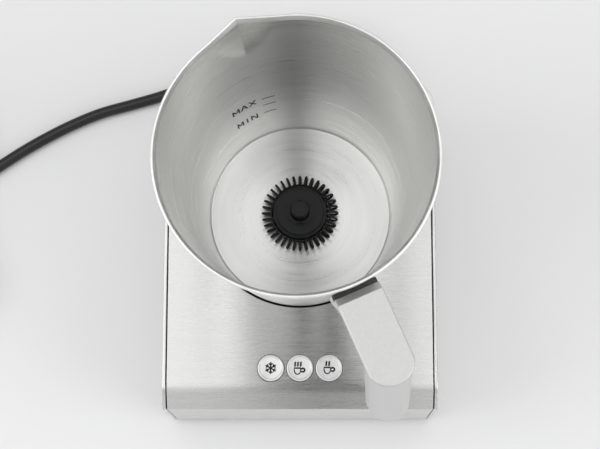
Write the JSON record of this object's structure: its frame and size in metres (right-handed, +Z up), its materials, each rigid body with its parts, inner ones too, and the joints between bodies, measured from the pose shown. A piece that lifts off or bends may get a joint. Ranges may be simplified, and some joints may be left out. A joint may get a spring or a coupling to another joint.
{
  "type": "milk frother",
  "caption": "Induction milk frother: flat steel power base with press buttons, tapered steel jug with spout and side handle, magnetic whisk, short mains lead and plug.",
  "frame": {"origin": "centre of the machine's own box, without its lead, at table level, under its feet", "axes": "+Z up, -Y the front with the buttons, +X to the right seen from the front; the jug's axis is at X 0, Y +16.4 mm"},
  "size_m": [0.2686, 0.1865, 0.1635],
  "materials": {
    "brushed_steel": "satin, brushed along the sheet",
    "skirt_steel": "satin, polished edge",
    "jug_steel": "satin, brushed round the jug, polished lip",
    "handle_steel": "fine satin",
    "zinc_steel": "bright zinc plating",
    "aluminium": "plain extrusion",
    "silver_cap": "satin silver with a bright rim",
    "black_plastic": "fine matt moulded",
    "whisk_plastic": "matt moulded",
    "grey_plastic": "matt moulded",
    "bush_plastic": "smooth acetal",
    "circuit_green": "solder mask",
    "capacitor_sleeve": "shrink sleeve",
    "copper": "enamelled winding wire",
    "ferrite": "pressed and fired",
    "magnet_nickel": "nickel plating",
    "pin_nickel": "nickel plating",
    "black_rubber": "matt",
    "lead_jacket": "satin jacket",
    "plug_jacket": "fine matt moulded"
  },
  "bodies": {
    "base": {"top_cover": "brushed_steel", "body_skirt": "skirt_steel", "housing_frame": "black_plastic", "base_tray": "black_plastic", "jug_well": "black_plastic", "induction_coil": "copper", "coil_carrier": "grey_plastic", "temperature_sensor": "zinc_steel", "drive_motor": "zinc_steel", "motor_bracket": "grey_plastic", "fan_frame": "black_plastic", "power_board": "circuit_green", "bulk_capacitor": "capacitor_sleeve", "mains_choke": "copper", "heat_sink": "aluminium", "control_board": "circuit_green", "button_guide": "black_plastic", "cord_strain_relief": "black_rubber", "power_cord": "lead_jacket", "cord_coil": "lead_jacket", "cord_tail": "lead_jacket", "plug_body": "plug_jacket", "plug_pin_1": "pin_nickel", "plug_pin_2": "pin_nickel", "foot_1": "black_rubber", "tray_screw_1": "zinc_steel", "foot_2": "black_rubber", "tray_screw_2": "zinc_steel", "foot_3": "black_rubber", "tray_screw_3": "zinc_steel", "foot_4": "black_rubber", "tray_screw_4": "zinc_steel", "ferrite_bar_1": "ferrite", "ferrite_bar_2": "ferrite", "ferrite_bar_3": "ferrite", "ferrite_bar_4": "ferrite", "ferrite_bar_5": "ferrite", "ferrite_bar_6": "ferrite", "tact_switch_cold": "grey_plastic", "tact_switch_froth": "grey_plastic", "tact_switch_warm": "grey_plastic"},
    "rotor": {"drive_shaft": "zinc_steel", "magnet_carrier": "grey_plastic", "drive_magnet_1": "magnet_nickel", "drive_magnet_2": "magnet_nickel"},
    "fan": {"fan_impeller": "black_plastic"},
    "cold_button": {"button_cold": "silver_cap"},
    "froth_button": {"button_froth": "silver_cap"},
    "warm_button": {"button_warm": "silver_cap"},
    "jug": {"jug_shell": "jug_steel", "handle": "handle_steel", "whisk_spindle": "zinc_steel"},
    "whisk_sleeve": {"whisk_bush": "bush_plastic"},
    "whisk": {"whisk_hub": "whisk_plastic", "whisk_ring": "whisk_plastic", "whisk_magnet_1": "magnet_nickel", "whisk_magnet_2": "magnet_nickel"}
  },
  "joints": [
    {"name": "rotor_spin", "type": "hinge", "parent": "base", "child": "rotor", "pos_m": [0, 0.01642, 0.044], "axis": [0, 0, 1], "continuous": true},
    {"name": "fan_spin", "type": "hinge", "parent": "base", "child": "fan", "pos_m": [-0.027, 0.04043, 0.01], "axis": [0, 0, 1], "continuous": true},
    {"name": "press_cold", "type": "slide", "parent": "base", "child": "cold_button", "axis": [0, 0, -1], "range_m": [0, 0.0008], "stiffness_N_per_m": 300, "springref_m": -0.002},
    {"name": "press_froth", "type": "slide", "parent": "base", "child": "froth_button", "axis": [0, 0, -1], "range_m": [0, 0.0008], "stiffness_N_per_m": 300, "springref_m": -0.002},
    {"name": "press_warm", "type": "slide", "parent": "base", "child": "warm_button", "axis": [0, 0, -1], "range_m": [0, 0.0008], "stiffness_N_per_m": 300, "springref_m": -0.002},
    {"name": "jug_lift", "type": "slide", "parent": "base", "child": "jug", "axis": [0, 0, 1], "range_m": [0, 0.06]},
    {"name": "whisk_lift", "type": "slide", "parent": "jug", "child": "whisk_sleeve", "axis": [0, 0, 1], "range_m": [0, 0.03]},
    {"name": "whisk_spin", "type": "hinge", "parent": "whisk_sleeve", "child": "whisk", "pos_m": [0, 0.01642, 0.056], "axis": [0, 0, 1], "continuous": true}
  ],
  "couplings": [
    {"joint": "whisk_spin", "follows": "rotor_spin", "ratio": 1}
  ]
}
